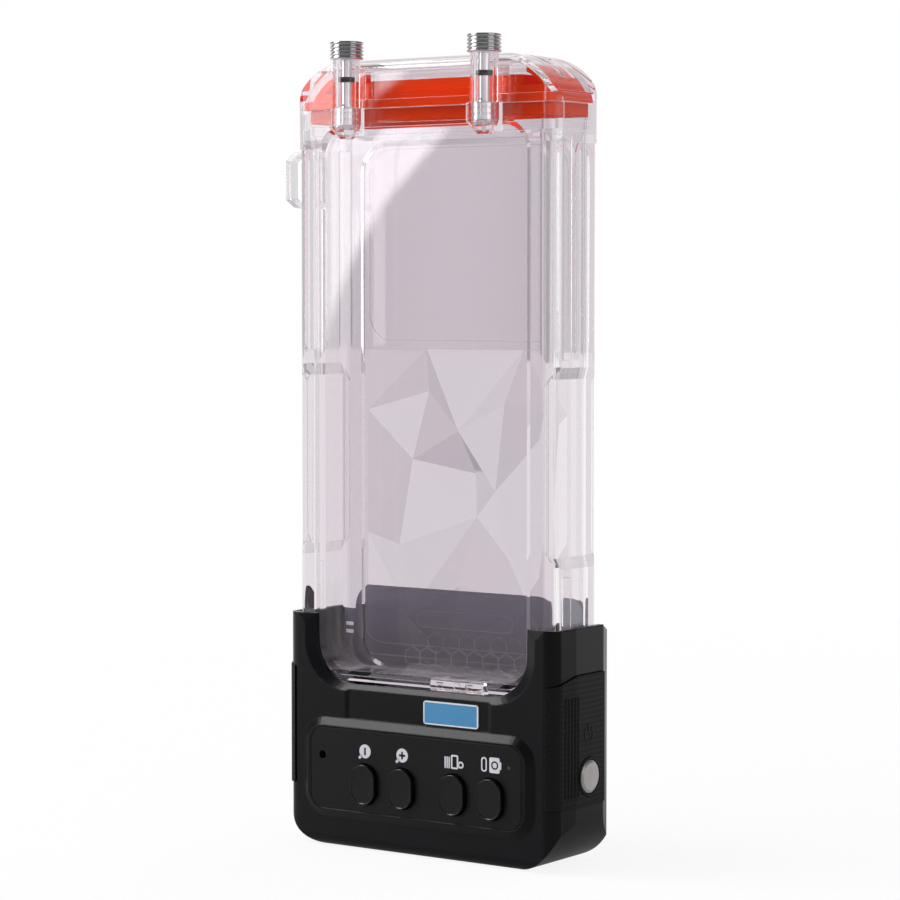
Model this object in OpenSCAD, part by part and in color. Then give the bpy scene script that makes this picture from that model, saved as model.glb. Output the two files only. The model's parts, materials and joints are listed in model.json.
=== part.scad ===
// Waterproof phone case: a clear one-piece body with a screwed-down clear cap on an orange
// seal, standing in a black electronics base with four camera keys and a power key.
// Millimetres. X is to the right seen from the front, Y to the back, Z up.
// The origin is the middle of the base's footprint, on the surface that it stands on.

/* [Clear body] */
// Width over the rails
case_w = 94.6; // [90:0.2:100]
// Depth over the rails
case_d = 23.6; // [22:0.2:27]
// Height from its foot to the rim
case_h = 172.9; // [150:0.1:185]
// Radius of the upright corners
case_r = 4; // [3:0.5:5]
// Radius of the two lower corners
case_foot_r = 12; // [9:0.5:14]
// Bevel round the foot
foot_bevel = 2.2; // [1:0.1:3]
// Thickness of the clear front and back panels
panel_wall = 2.4; // [1.8:0.1:2.8]
// Thickness of the side walls at the waist
side_wall = 2.8; // [2.2:0.1:3.4]
// Thickness of the floor of the phone space
floor_wall = 2.6; // [2:0.1:4]
// How much narrower the waist is on each side
waist_in = 1.5; // [0.8:0.1:2.2]
// Height of the waist's lower end above the foot
waist_low = 36.5; // [30:0.5:45]
// Length of the waist
waist_len = 61; // [45:0.5:70]
// Slope length of the waist's ends
waist_slope = 4.6; // [3:0.2:6]
// Depth of the recessed front and back panels
panel_in = 0.8; // [0.4:0.1:1.2]
// Width of the sloped edge round those panels
panel_bevel = 1.7; // [1:0.1:2.4]
// Height of the solid band above the recessed front panel
panel_band = 5.2; // [4:0.2:8]
// Width of the recessed panels
panel_w = 75.2; // [70:0.2:80]
// Corner radius of the recessed panels
panel_r = 9; // [6:0.5:11]
// Height of the thicker collar at the rim
collar_h = 11.4; // [10:0.2:14]
// How far the collar stands proud
collar_out = 0.45; // [0.2:0.05:0.8]
// Height over which the collar tapers back into the body
collar_taper = 2.4; // [1:0.2:4]

/* [Camera window and relief] */
// Width of the camera window in the back
window_w = 69.4; // [60:0.2:72]
// Height of the camera window
window_h = 60; // [45:0.5:70]
// Depth of the camera window below the back panel
window_in = 0.4; // [0.2:0.05:0.5]
// Height that the faceted relief stands off the back panel
relief_h = 0.75; // [0.3:0.05:0.75]

/* [Lanyard loop] */
// How far the loop reaches out
lug_reach = 6.8; // [6.6:0.1:9]
// Height of the loop at its root
lug_root_h = 18; // [16:0.5:22]
// Height of the loop's outer bar
lug_bar_h = 12; // [10:0.5:14]
// Thickness of the loop's bars
lug_bar = 1.8; // [1.5:0.1:2]
// Width of the loop from front to back
lug_w = 5; // [4:0.2:6]

/* [Cap] */
// Height of the cap
cap_h = 14.6; // [13.6:0.1:18]
// Wall of the cap
cap_wall = 2.3; // [1.8:0.1:2.6]
// How far the cap stands proud of the clear body
cap_out = 0.5; // [0.3:0.05:0.9]
// Radius of the cap's two shoulders, which meet the sides in a crease
cap_shoulder_r = 22; // [18:0.5:26]
// Radius of the cap's front and back top edges
cap_edge_r = 4; // [3:0.25:5.5]
// Width of the boss webs where they meet the cap
cap_web_foot = 13; // [9:0.5:15]
// Number of grip grooves on each end
cap_grooves = 2; // [2:1:3]

/* [Seal] */
// Thickness of the seal's flange
seal_flange_t = 2.6; // [2:0.1:3.4]
// Depth that the skirt plugs into the body
seal_skirt = 3.8; // [2.5:0.1:5.5]
// Height of the band above the flange
seal_band_h = 2.3; // [1.6:0.1:3]
// Wall of the seal
seal_wall = 3; // [2.2:0.1:3.6]

/* [Cap screws] */
// Distance between the two cap screws
screw_pitch_x = 49.8; // [40:0.2:60]
// Diameter of the bosses on the cap
cap_boss_d = 8.4; // [7.6:0.1:9.2]
// Width of the eight-sided bosses on the body
body_boss_w = 10; // [9:0.2:11]
// Height of the straight part of the body bosses
body_boss_h = 5.5; // [5.2:0.1:7]
// Diameter of the screw heads
head_d = 10.2; // [9:0.1:11]
// Height of the screw heads
head_h = 5.3; // [4.4:0.1:6.5]
// Outer diameter of the screw's thread
thread_d = 4; // [3.5:0.1:4.2]
// Outer diameter of the threaded inserts
insert_d = 6; // [5.4:0.1:6.4]

/* [Base] */
// How far the base stands out beyond the clear body on each side
base_side = 2.1; // [1.8:0.1:4]
// How far the front face stands out beyond the clear body
base_front_out = 2.9; // [2.6:0.1:4]
// How far the rear face stands out beyond the clear body
base_back_out = 4.4; // [3.6:0.1:6]
// Height of the band between the keys and the opening
label_band = 11.4; // [10:0.2:14]
// Height of the arms above that floor
arm_h = 22.8; // [18:0.2:26]
// Extra height of the hump in the rear wall
hump_h = 7.7; // [4:0.1:10]
// Radius of the two bottom corners
base_r = 15; // [12:0.5:18]
// Radius of the long bottom edges
base_edge_r = 3.5; // [2:0.25:4.5]
// Wall of the base
base_wall = 2.4; // [2:0.1:2.8]
// Half width of the opening in the front, at its edge
scoop_half_w = 42; // [39:0.5:43]
// Width of the opening's bevel at its sides
scoop_bevel_w = 3.6; // [2:0.1:4]
// Width of the opening's bevel along its lower edge
scoop_bevel_h = 2.1; // [1:0.1:2.4]
// Radius of the opening's lower corners
scoop_r = 15; // [12:0.5:17]

/* [Keypad] */
// Width of the rubber key panel
keypad_w = 76.8; // [74:0.2:79]
// Height of the rubber key panel
keypad_h = 24.6; // [23:0.2:27]
// Height of the panel's lower edge
keypad_z = 12; // [10:0.2:14]
// How far the key platform stands proud
keypad_out = 1.6; // [1:0.1:2]
// Width of a camera key
key_w = 8.9; // [8:0.1:9.6]
// Height of a camera key
key_h = 12.2; // [11:0.1:13]
// How far a camera key stands proud
key_out = 1.7; // [1.6:0.1:2.6]
// Travel of a camera key
key_travel = 0.9; // [0.5:0.05:1]
// Diameter of the power key
power_d = 9.7; // [8:0.1:11]
// Travel of the power key
power_travel = 0.8; // [0.4:0.05:0.9]

/* [Side grips] */
// Lower edge of the side grips
grip_z = 18.5; // [16:0.5:22]
// Height of the side grips
grip_h = 38.5; // [30:0.5:42]
// How far the side grips stand proud
grip_out = 0.5; // [0.3:0.05:0.8]
// How deep the side grips are let in
grip_in = 0.6; // [0.4:0.05:0.8]
// Number of upright flutes in each side grip
grip_flutes = 5; // [2:1:6]

/* [Hidden] */

$fn = 64;
tiny = 0.01;
over = 1;
gap = 0.1;
play = 0.25;
run = 0.05;

// Heights
stand_off = 2.4;
base_w = case_w + 2 * base_side;
base_d = case_d + base_front_out + base_back_out;
base_h = keypad_z + keypad_h + label_band;
case_z0 = base_h + stand_off;
case_top = case_z0 + case_h;
cap_z0 = case_top + gap;
cap_top = cap_z0 + cap_h;
arm_top = base_h + arm_h;
hump_top = arm_top + hump_h;

// Phone space
cavity_w = case_w - 2 * (waist_in + side_wall);
cavity_d = case_d - 2 * (panel_in + panel_wall);
cavity_r = 2.5;
cavity_foot_r = case_foot_r - side_wall - tiny;
cavity_z0 = case_z0 + floor_wall;
rim_wall = 2.5;
seat_d = 5;
ledge_d = 7.7;
mouth_w = case_w - 2 * rim_wall;
mouth_d = case_d - 2 * rim_wall;
mouth_r = 3;
panel_z0 = case_z0 + floor_wall;
panel_top = case_top - panel_band;
window_band = 9.5;
window_z0 = case_top - window_band - window_h;
window_r = 8;
waist_z0 = case_z0 + waist_low;
waist_corner_w = 2.4;
waist_corner_in = 0.8;
rib_w = 4.2;
rib_out = 0.5;
rib_y = -6.4;
groove_w = 3;
groove_in = 0.7;
groove_tip = 3;

// Relief on the back: a fan of facets round high and low points, as shares of its field
relief_margin = 2;
relief_foot = 6;
relief_gap = 2.5;
relief_root = 0.3;
relief_w = panel_w - 2 * relief_margin;
relief_z0 = case_z0 + relief_foot;
relief_z1 = window_z0 - relief_gap;
relief_len = relief_z1 - relief_z0;

// Loop
lug_y = -5.5;
lug_drop = 20.5;
lug_z = case_top - lug_drop;
lug_root = 1.2;
lug_corner = 3;
lug_slope = 0.6;
lug_hole_corner = 1.6;

// Bosses and screws
boss_out = 3.9;
boss_y = -(case_d / 2 + boss_out);
web_w = 6.4;
web_root = 1;
boss_taper = 3.6;
boss_tip_d = 4.2;
boss_step = 0.3;
shank_in = 0.4;
shank_r = thread_d / 2 - shank_in;
boss_bore_r = thread_d / 2 + 0.55;
insert_len = 5;
insert_well = 1.2;
insert_ring = 0.5;
insert_rings = [1.4, 3.2];
thread_engage = 4.8;
thread_len = 6.2;
head_rings = 5;
ring_in = 0.35;
shaft_seal_up = 7.6;
shaft_seal_z = cap_z0 + shaft_seal_up;
shaft_seal_t = 1.6;
shaft_groove = 0.3;

// Cap and seal
cap_w = case_w + 2 * cap_out;
cap_d = case_d + 2 * cap_out;
cap_r = case_r + cap_out;
cap_lip_h = 0.8;
cap_crown_x = cap_w / 2 - sqrt(pow(cap_shoulder_r, 2) - pow(cap_shoulder_r - cap_h + cap_lip_h, 2));
flange_in = 1.6;
flange_w = cap_w - 2 * flange_in;
flange_d = cap_d - 2 * flange_in;
cap_groove_in = 0.8;
cap_groove_w = 2.2;
cap_groove_pitch = 5.2;
cap_groove_x = 30;
skirt_w = mouth_w - 2 * play;
skirt_d = mouth_d - 2 * play;
band_top = cap_z0 + seal_flange_t + seal_band_h;
seal_band_in = cap_wall;
seal_collar_h = 3.3;
seal_collar_in = 11.3;
seal_collar_step = 1;
seal_hollow_r = 2;
seal_rib_pitch = cap_groove_pitch;
seal_rib_w = 2.4;
seal_rib_t = 2;
seal_rib_x = 34;
seal_bridge_x = 39;

// Base section: front flat, round corner, slightly tapered cheek, side flat, rear chamfer
base_front_y = -(case_d / 2 + base_front_out);
base_back_y = case_d / 2 + base_back_out;
front_r = 4.3;
cheek_in = 0.5;
cheek_w = 10.8;
crease_y = base_front_y + cheek_w;
rear_cover_t = 5.3;
split_y = base_back_y - rear_cover_t;
rear_in = 2.1;
grip_wrap = 3.2;
grip_dip = 3;
flute_r = 0.5;
flute_in = 0.3;
flute_pitch = 1.55;
flute_end = 3;
flute_y0 = base_front_y + front_r + flute_r;
cradle_w = case_w + 2 * play;
cradle_front_y = -(case_d / 2 + play);
cradle_back_y = case_d / 2 + play;
cradle_r = case_foot_r + play;
scoop_bevel_d = 1.5;
arm_corner = 3;
hump_half_w = 41;
hump_r = 8;
inner_w = base_w - 2 * base_wall;
inner_top = base_h - base_wall;
inner_front_y = base_front_y + base_wall;
strip_half_w = 25.5;
strip_in = 0.4;
strip_slope = 1.3;
pad_x = 28;
pad_w = 8;
rear_room_side = 9.2;
rear_room_foot = 6;
rear_room_top = 1;
rear_room_r = 7;
rear_groove = 0.8;
rear_groove_in = 0.5;
rear_groove_edge = 12.4;
rear_groove_foot = 7;
rear_groove_r = 6;

// Keypad
plat_rim = 1.5;
plat_bevel = 2.4;
keypad_r = 4.5;
keypad_t = 1.5;
keypad_y = base_front_y - keypad_out;
keypad_mid_z = keypad_z + keypad_h / 2;
plat_h = keypad_h + 1.2;
zoom_in_edge = 34.1;
zoom_pitch = 13.8;
shutter_edge = 10.6;
mode_pitch = 13.4;
key_x = [-keypad_w / 2 + zoom_in_edge - zoom_pitch, -keypad_w / 2 + zoom_in_edge,
    keypad_w / 2 - shutter_edge - mode_pitch, keypad_w / 2 - shutter_edge];
key_up = 8.5;
key_z = keypad_z + key_up;
key_flange = 0.9;
key_flange_t = 0.8;
key_crown = 0.45;
key_crown_h = 0.35;
sensor_edge = 4.3;
sensor_up = 16.1;
sensor_x = -keypad_w / 2 + sensor_edge;
sensor_z = keypad_z + sensor_up;
sensor_hole_r = 1.25;
sensor_r = 3;
sensor_port_r = 1;
lens_edge = 4.4;
lens_up = 18.3;
lens_x = keypad_w / 2 - lens_edge;
lens_z = keypad_z + lens_up;
lens_r = 0.6;
label_x = 12.3;
label_down = 4.1;
label_z = base_h - label_down;
label_w = 19.7;
label_h = 7;
label_t = 0.45;
label_r = 0.9;

// Inside the base
board_side = 9.8;
board_foot = 6.6;
board_head = 2.6;
board_w = inner_w - 2 * board_side;
board_z = base_wall + board_foot;
board_h = inner_top - board_head - board_z;
board_r = 2;
board_t = 1.6;
switch_h = 0.8;
key_room = 0.4;
board_gap = key_flange_t + key_travel + switch_h + key_room;
board_y = inner_front_y + board_gap;
post_r = 2.2;
post_in = 3.3;
post_x = [-board_w / 2 + post_in, board_w / 2 - post_in];
post_z = [board_z + post_in, board_z + board_h - post_in];
pilot_r = 0.8;
pilot_d = 4;
board_screw_len = 3.6;
screw_head_t = 1.1;
screw_head_r = 1.7;
switch_r = 3;
switch_dome_r = 1.6;
foam_t = 1;
foam_in = 3;
battery_in = 8;
battery_foot = 3;
battery_w = board_w - 2 * battery_in;
battery_h = board_h - 2 * battery_foot;
battery_r = 2.5;
battery_t = 8;
board_mid_z = board_z + board_h / 2;
shell_boss_r = 3.2;
shell_screw_in = 8;
shell_screw_foot = 15;
shell_screw_head = 6;
shell_screw_x = [-base_w / 2 + shell_screw_in, base_w / 2 - shell_screw_in];
shell_screw_z = [shell_screw_foot, base_h - shell_screw_head];
shell_screw_r = 1.15;
shell_screw_len = 10;
shell_head_r = 2.6;
shell_head_t = 1.6;
hex_r = 1.1;
hex_d = 0.8;
counterbore_d = 2.2;
seal_inset = 0.7;
seal_groove = 1.4;
seal_depth = 1;
power_from_split = 8.1;
power_y = split_y - power_from_split;
power_z = 26.8;
power_stem_r = 2.5;
power_seat_in = 1.6;
power_boss_in = 2.4;
power_boss_wall = 1.6;
power_seat_x = base_w / 2 - power_seat_in;
power_boss_x = base_w / 2 - base_wall - power_boss_in;
power_head_t = 1.7;
power_edge = 0.8;
power_edge_h = 0.4;
power_clip = 0.7;
power_clip_t = 0.9;
stem_in = 1.2;
switch_body = 6;
switch_body_t = 1.8;
switch_plate = 8.8;
switch_plate_t = 1.2;
switch_rib_t = 1.6;
ring_w = 0.9;
ring_proud = 0.2;
tab_x = 7;
tab_w = 18.6;
tab_d = 7;
tab_h = 4;
front_block_w = 19;
front_block_h = 3.6;
front_block_x = 13.3;
front_block_out = 1.2;
front_block_z = base_h + scoop_bevel_h + play + front_block_h / 2;
front_dimple_r = 1.2;
front_dimple_in = 0.5;
case_screw_pitch = 10.8;
case_screws_x = [tab_x - case_screw_pitch / 2, tab_x + case_screw_pitch / 2];
case_screw_r = 1.3;
case_screw_grip = 3;

clear_tint = [0.86, 0.83, 0.87, 0.4];
seal_orange = [0.92, 0.28, 0.1];
shell_black = [0.12, 0.12, 0.14];
rubber_black = [0.17, 0.17, 0.19];
steel_grey = [0.78, 0.78, 0.8];

// Flat shapes
module rounded(w, h, r) {
    square([w - 2 * r, h], center = true);
    square([w, h - 2 * r], center = true);
    for (x = [-1, 1], y = [-1, 1])
        translate([x * (w / 2 - r), y * (h / 2 - r)]) circle(r);
}

// Rectangle from z0 up to z1 with both lower corners rounded
module rounded_foot(w, z0, z1, r) {
    translate([-w / 2, z0 + r]) square([w, z1 - z0 - r]);
    translate([-w / 2 + r, z0]) square([w - 2 * r, r + tiny]);
    for (x = [-1, 1]) translate([x * (w / 2 - r), z0 + r]) circle(r);
}

// Rectangle from z0 up to z1 with both upper corners rounded
module rounded_head(w, z0, z1, r) {
    mirror([0, 1]) rounded_foot(w, -z1, -z0, r);
}

// Upright and lying extrusions: seen from above, from the front and from the side
module from_top(z0, z1) {
    translate([0, 0, z0]) linear_extrude(z1 - z0) children();
}
module from_front(y0, y1) {
    translate([0, y1, 0]) rotate([90, 0, 0]) linear_extrude(y1 - y0) children();
}
module from_side(x0, x1) {
    translate([x0, 0, 0]) rotate([90, 0, 90]) linear_extrude(x1 - x0) children();
}
module both_sides() {
    children();
    mirror([1, 0, 0]) children();
}

// Clear body
module case_outer() {
    w = case_w + 2 * collar_out;
    d = case_d + 2 * collar_out;
    z0 = case_top - collar_h;
    intersection() {
        from_top(case_z0, case_top) rounded(case_w, case_d, case_r);
        from_front(-case_d, case_d) rounded_foot(case_w, case_z0, case_top + over, case_foot_r);
        from_side(-case_w, case_w) polygon([
            [-case_d / 2 + foot_bevel, case_z0], [case_d / 2 - foot_bevel, case_z0],
            [case_d / 2, case_z0 + foot_bevel], [case_d / 2, case_top + over],
            [-case_d / 2, case_top + over], [-case_d / 2, case_z0 + foot_bevel]]);
    }
    // Collar, tapered into the body below
    intersection() {
        from_top(z0, case_top) rounded(w, d, case_r + collar_out);
        from_front(-case_d, case_d) collar_shape(case_w / 2, z0);
        from_side(-case_w, case_w) collar_shape(case_d / 2, z0);
    }
}
module collar_shape(half, z0) polygon([[-half, z0], [half, z0],
    [half + collar_out, z0 + collar_taper], [half + collar_out, case_top + over],
    [-half - collar_out, case_top + over], [-half - collar_out, z0 + collar_taper]]);

module case_hollow() {
    intersection() {
        from_top(cavity_z0, case_top + over) rounded(cavity_w, cavity_d, cavity_r);
        from_front(-case_d, case_d)
            rounded_foot(cavity_w, cavity_z0, case_top + 2 * over, cavity_foot_r);
    }
    // Mouth for the seal, with a ledge on the way down
    from_top(case_top - seat_d, case_top + over) rounded(mouth_w, mouth_d, mouth_r);
    from_top(case_top - ledge_d, case_top)
        rounded((mouth_w + cavity_w) / 2, (mouth_d + cavity_d) / 2, (mouth_r + cavity_r) / 2);
}

// One waist cut on the right side: the side is stepped in and both corners are thinned
module waist_cut() {
    side_x = case_w / 2 - waist_in;
    corner_x = side_x - waist_corner_w;
    reach = case_w / 2 + over;
    run_out = waist_slope + over;
    z0 = waist_z0;
    z1 = waist_z0 + waist_len;
    from_front(-case_d, case_d) polygon([
        [side_x, z0 + waist_slope], [reach, z0 - over], [reach, z1 + over], [side_x, z1 - waist_slope]]);
    for (y = [-1, 1])
        translate([0, y * (case_d - waist_corner_in) / 2, 0])
            from_front(-waist_corner_in / 2 - (y < 0 ? over : 0),
                waist_corner_in / 2 + (y > 0 ? over : 0))
                polygon([[corner_x, z0 + run_out + over], [reach, z0 - over], [reach, z1 + over],
                    [corner_x, z1 - run_out - over]]);
}

// Pointed groove down the middle of each side wall
module side_groove() {
    z0 = waist_z0 + waist_len + groove_tip;
    z1 = case_top - collar_h;
    from_side(case_w / 2 - groove_in, case_w / 2 + over) polygon([
        [-groove_w / 2, z0], [groove_w / 2, z0], [groove_w / 2, z1 - groove_tip], [0, z1],
        [-groove_w / 2, z1 - groove_tip]]);
}

// Rib on each side, above the waist up to the rim and below it down to the base's arm
module side_rib() {
    for (z = [[waist_z0 + waist_len + 2 * rib_out, case_top], [arm_top + play, waist_z0 - 2 * rib_out]])
        translate([case_w / 2 - rib_out, rib_y - rib_w / 2, z[0]])
            cube([2 * rib_out, rib_w, z[1] - z[0]]);
}

// Loop for a wrist lanyard on the left side
module lanyard_loop() {
    root_x = -case_w / 2 + lug_root;
    out_x = -case_w / 2 - lug_reach;
    in_x = out_x + lug_bar;
    root = lug_root_h / 2;
    bar = lug_bar_h / 2;
    from_front(lug_y - lug_w / 2, lug_y + lug_w / 2) difference() {
        polygon([[root_x, lug_z - root], [root_x, lug_z + root],
            [out_x + lug_corner, lug_z + root - lug_slope], [out_x, lug_z + bar],
            [out_x, lug_z - bar], [out_x + lug_corner, lug_z - root + lug_slope]]);
        polygon([[-case_w / 2, lug_z - root + lug_bar], [-case_w / 2, lug_z + root - lug_bar],
            [in_x + lug_hole_corner, lug_z + root - lug_bar - lug_slope],
            [in_x, lug_z + bar - lug_slope], [in_x, lug_z - bar + lug_slope],
            [in_x + lug_hole_corner, lug_z - root + lug_bar + lug_slope]]);
    }
}

// Boss on the body for one cap screw: eight-sided, tapered below, on a web
module body_boss(x) {
    across = body_boss_w / cos(22.5);
    z0 = case_top - body_boss_h;
    translate([x, boss_y, z0]) rotate([0, 0, 22.5]) cylinder(h = body_boss_h - run, d = across, $fn = 8);
    translate([x, boss_y, z0 - boss_taper]) rotate([0, 0, 22.5])
        cylinder(h = boss_taper, d1 = boss_tip_d, d2 = across, $fn = 8);
    translate([x - web_w / 2, boss_y, z0 - boss_taper + panel_in])
        cube([web_w, boss_out + panel_in + web_root, body_boss_h + boss_taper - panel_in - run]);
}

// Facets of the back relief: a sheet of triangles over a jittered grid of high and low points
relief_cols = 4;
relief_rows = 5;
function relief_shift(i, j, k) =
    (i == 0 || i == relief_cols) ? 0 : 0.34 * sin(137 * i + 71 * j + 49 * k);
function relief_rise(i, j) =
    (i == 0 || i == relief_cols || j == 0 || j == relief_rows) ? 0.12
        : 0.25 + 0.75 * abs(sin(101 * i + 59 * j));
function relief_point(i, j) = [
    (i / relief_cols - 0.5 + relief_shift(i, j, 0) / relief_cols) * relief_w,
    case_d / 2 - panel_in + relief_rise(i, j) * relief_h,
    relief_z0 + (j + ((j == 0 || j == relief_rows) ? 0 : relief_shift(i, j, 1)))
        / relief_rows * relief_len];
module back_relief() {
    cols = relief_cols + 1;
    count = cols * (relief_rows + 1);
    top = [for (j = [0 : relief_rows], i = [0 : relief_cols]) relief_point(i, j)];
    foot = [for (p = top) [p[0], case_d / 2 - panel_in - relief_root, p[2]]];
    up = [for (j = [0 : relief_rows - 1], i = [0 : relief_cols - 1])
        let (a = cols * j + i, b = a + cols)
            each ((i + j) % 2 == 0 ? [[a, b + 1, b], [a, a + 1, b + 1]]
                : [[a, a + 1, b], [b, a + 1, b + 1]])];
    down = [for (f = up) [f[0] + count, f[2] + count, f[1] + count]];
    low = [for (i = [0 : relief_cols - 1]) [i + 1, i, i + count, i + 1 + count]];
    high = [for (i = [0 : relief_cols - 1]) let (a = cols * relief_rows + i)
        [a, a + 1, a + 1 + count, a + count]];
    left = [for (j = [0 : relief_rows - 1]) let (a = cols * j) [a, a + cols, a + cols + count, a + count]];
    right = [for (j = [0 : relief_rows - 1]) let (a = cols * j + relief_cols)
        [a + cols, a, a + count, a + cols + count]];
    polyhedron(concat(top, foot), concat(up, down, low, high, left, right));
}

// Recess in the front face with a sloped edge, from z0 to z1
module panel_recess(z0, z1) hull() for (t = [-1, 1])
    from_front(-case_d / 2 + (t < 0 ? panel_in - tiny : -over), -case_d / 2 + (t < 0 ? panel_in : 0))
        translate([0, (z0 + z1) / 2]) rounded(panel_w + t * panel_bevel, z1 - z0 + t * panel_bevel,
            panel_r + t * panel_bevel / 2, $fn = 48);

module case_body() color(clear_tint) {
    difference() {
        union() {
            difference() {
                case_outer();
                both_sides() waist_cut();
                both_sides() side_groove();
                // Recessed panels: the front one runs up past the collar
                panel_recess(panel_z0, panel_top);
                mirror([0, 1, 0]) panel_recess(panel_z0, window_z0 + window_h);
                from_front(case_d / 2 - panel_in - window_in, case_d / 2)
                    translate([0, window_z0 + window_h / 2 - panel_in])
                        rounded(window_w, window_h - 2 * panel_in, window_r);
            }
            both_sides() side_rib();
            lanyard_loop();
            both_sides() body_boss(screw_pitch_x / 2);
            translate([tab_x - tab_w / 2, -tab_d / 2, case_z0 - tab_h])
                cube([tab_w, tab_d, tab_h + floor_wall]);
            // Block on the front face, in the base's opening
            from_front(-case_d / 2 - front_block_out, -case_d / 2 + panel_in + over)
                translate([front_block_x, front_block_z])
                    square([front_block_w, front_block_h], center = true);
        }
        from_front(-case_d / 2 - front_block_out - over, -case_d / 2 - front_block_out + front_dimple_in)
            translate([front_block_x, front_block_z]) circle(front_dimple_r);
        case_hollow();
        both_sides() translate([screw_pitch_x / 2, boss_y, case_top - insert_len - insert_well])
            cylinder(h = insert_len + insert_well + over, d = insert_d);
        for (x = case_screws_x) translate([x, 0, case_z0 - tab_h - over])
            cylinder(h = tab_h + over + floor_wall / 2, r = case_screw_r + run);
    }
    back_relief();
}

module threaded_inserts() color("silver") both_sides()
    translate([screw_pitch_x / 2, boss_y, case_top - insert_len]) difference() {
        cylinder(h = insert_len, d = insert_d);
        translate([0, 0, -over]) cylinder(h = insert_len + 2 * over, d = thread_d + 2 * run);
        for (z = insert_rings) translate([0, 0, z]) difference() {
            cylinder(h = insert_ring, d = insert_d + over);
            translate([0, 0, -over]) cylinder(h = insert_ring + 2 * over, d = insert_d - insert_ring);
        }
    }

// Shoulder profile of the cap seen from the front, t inside its outer skin: a flat crown
// between two wide arcs, which the sides cut off in a crease
module cap_profile(t) {
    for (x = [-1, 1]) translate([x * cap_crown_x, cap_top - cap_shoulder_r])
        circle(cap_shoulder_r - t, $fn = 128);
    translate([-cap_crown_x, cap_top - 2 * cap_shoulder_r + t])
        square([2 * cap_crown_x, 2 * (cap_shoulder_r - t)]);
}

module cap_solid(t, z0) {
    intersection() {
        from_top(z0, cap_top) rounded(cap_w - 2 * t, cap_d - 2 * t, cap_r - t);
        from_front(-cap_d, cap_d) cap_profile(t);
        from_side(-cap_w, cap_w) rounded_head(cap_d - 2 * t, z0 - over, cap_top - t, cap_edge_r - t);
    }
}

module top_cap() color(clear_tint) difference() {
    union() {
        cap_solid(0, cap_z0);
        both_sides() translate([screw_pitch_x / 2, boss_y, cap_z0])
            cylinder(h = cap_h - boss_step, d = cap_boss_d);
        // Flared web between each boss and the cap
        both_sides() translate([screw_pitch_x / 2, 0, 0])
            from_top(cap_z0, cap_top - cap_edge_r) polygon([
                [-web_w / 2, boss_y], [web_w / 2, boss_y], [cap_web_foot / 2, -cap_d / 2],
                [cap_web_foot / 2, -cap_d / 2 + web_root], [-cap_web_foot / 2, -cap_d / 2 + web_root],
                [-cap_web_foot / 2, -cap_d / 2]]);
    }
    cap_solid(cap_wall, cap_z0 - over);
    from_top(cap_z0 - over, cap_z0 + seal_flange_t)
        rounded(flange_w, flange_d, cap_r - flange_in);
    both_sides() translate([screw_pitch_x / 2, boss_y, cap_z0 - over])
        cylinder(h = cap_h + 2 * over, r = boss_bore_r);
    // Grip grooves down each shoulder
    both_sides() for (k = [0 : cap_grooves - 1])
        let (y = (k - (cap_grooves - 1) / 2) * cap_groove_pitch)
            from_front(y - cap_groove_w / 2, y + cap_groove_w / 2) difference() {
                translate([cap_groove_x, cap_z0 + cap_h / 2]) square([cap_w / 2, cap_h]);
                cap_profile(cap_groove_in);
            }
}

// Seal: skirt in the body's mouth, flange on its rim, band and collar up in the cap
module seal_gasket() color(seal_orange) {
    rib_half = seal_rib_pitch + seal_rib_w / 2;
    slot_w = seal_rib_pitch - seal_rib_w;
    difference() {
        union() {
            from_top(cap_z0 - seal_skirt, cap_z0) rounded(skirt_w, skirt_d, mouth_r - play);
            from_top(cap_z0, cap_z0 + seal_flange_t)
                rounded(flange_w - 2 * gap, flange_d - 2 * gap, cap_r - flange_in - gap);
            // Band and collar, narrow enough to clear the cap's shoulders
            from_top(cap_z0 + seal_flange_t - tiny, band_top)
                rounded(skirt_w - 2 * seal_band_in, skirt_d, mouth_r - play);
            from_top(band_top - tiny, band_top + seal_collar_h) rounded(
                skirt_w - 2 * seal_collar_in, skirt_d - 2 * seal_collar_step, mouth_r - play);
        }
        from_top(cap_z0 - seal_skirt - over, band_top + seal_collar_h + over)
            rounded(skirt_w - 2 * (seal_collar_in + seal_wall), skirt_d - 2 * seal_wall, seal_hollow_r);
        from_top(cap_z0 - seal_skirt - over, cap_z0)
            rounded(skirt_w - 2 * seal_wall, skirt_d - 2 * seal_wall, seal_hollow_r);
    }
    // Ribs that run up under each shoulder of the cap, joined at their feet
    both_sides() difference() {
        from_front(-rib_half, rib_half) difference() {
            intersection() {
                translate([seal_rib_x, cap_z0 + seal_flange_t - tiny])
                    square([skirt_w / 2 - seal_rib_x, cap_h]);
                cap_profile(cap_wall + gap);
            }
            cap_profile(cap_wall + gap + seal_rib_t);
        }
        for (y = [-1, 1]) translate([seal_rib_x - over, (y * seal_rib_pitch - slot_w) / 2, band_top])
            cube([seal_bridge_x - seal_rib_x + over, slot_w, cap_h]);
    }
}

module thumb_screw(x) color(steel_grey) translate([x, boss_y, 0]) {
    head_z = cap_z0 + cap_h - boss_step + gap;
    foot_z = case_top - thread_engage;
    ring_h = head_h / (2 * head_rings + 1);
    translate([0, 0, head_z]) cylinder(h = head_h, d = head_d - 2 * ring_in);
    for (k = [0 : head_rings]) translate([0, 0, head_z + 2 * k * ring_h])
        cylinder(h = ring_h, d = head_d);
    difference() {
        translate([0, 0, foot_z]) cylinder(h = head_z - foot_z + ring_in, r = shank_r);
        translate([0, 0, shaft_seal_z]) difference() {
            cylinder(h = shaft_seal_t, r = thread_d);
            translate([0, 0, -over]) cylinder(h = shaft_seal_t + 2 * over, r = shank_r - shaft_groove);
        }
    }
    translate([0, 0, foot_z]) cylinder(h = thread_len, d = thread_d);
}
module thumb_screw_left() thumb_screw(-screw_pitch_x / 2);
module thumb_screw_right() thumb_screw(screw_pitch_x / 2);

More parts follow.
